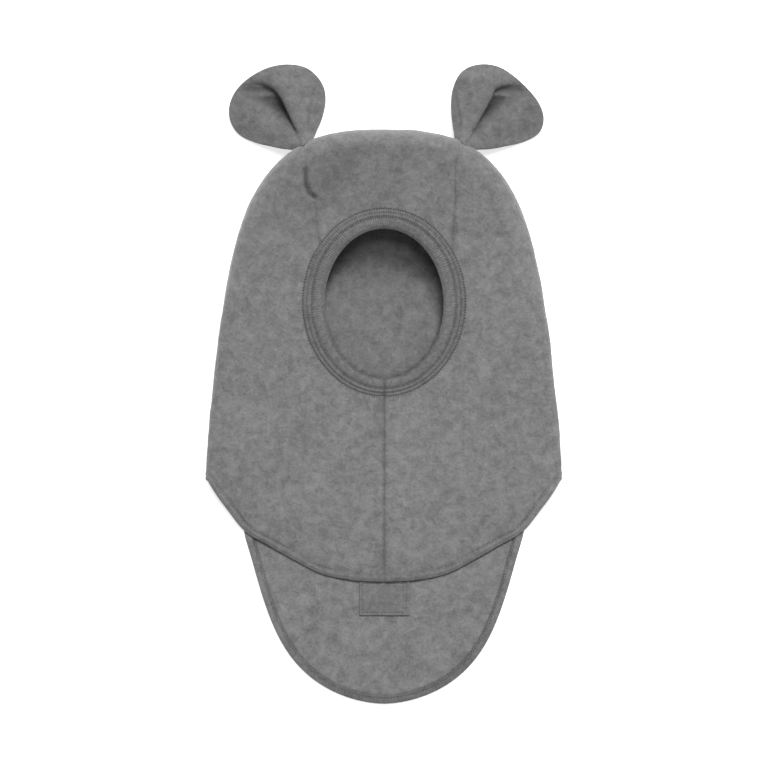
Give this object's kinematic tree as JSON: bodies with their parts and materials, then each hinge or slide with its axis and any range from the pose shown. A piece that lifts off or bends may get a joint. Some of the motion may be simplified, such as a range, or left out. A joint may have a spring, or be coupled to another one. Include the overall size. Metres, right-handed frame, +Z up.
{
  "type": "baby balaclava hat with ears",
  "caption": "Baby balaclava hood of grey felted wool fleece with a ribbed face band, two cupped ears and front and back bibs, lying flat on its back.",
  "frame": {"origin": "middle of the footprint, on the surface that the back of the hood lies on", "axes": "+X across the hood towards the right-hand ear as seen from above, +Y from the bibs towards the crown, +Z up out of the face opening"},
  "size_m": [0.265, 0.4749, 0.0458],
  "materials": {
    "fleece": "felted heather-grey wool fleece, matt and slightly hairy",
    "ear_fleece": "felted heather-grey wool fleece, two plies sewn and turned",
    "rib_knit": "fine grey rib knit, folded double",
    "patch": "small bare patch of the same grey cloth, sewn down"
  },
  "bodies": {
    "root": {"middle_panel": "fleece", "side_panel_left": "fleece", "side_panel_right": "fleece", "face_band": "rib_knit", "ear_left_back": "ear_fleece", "ear_left_front": "ear_fleece", "ear_right_back": "ear_fleece", "ear_right_front": "ear_fleece", "label_patch": "patch"}
  },
  "joints": []
}
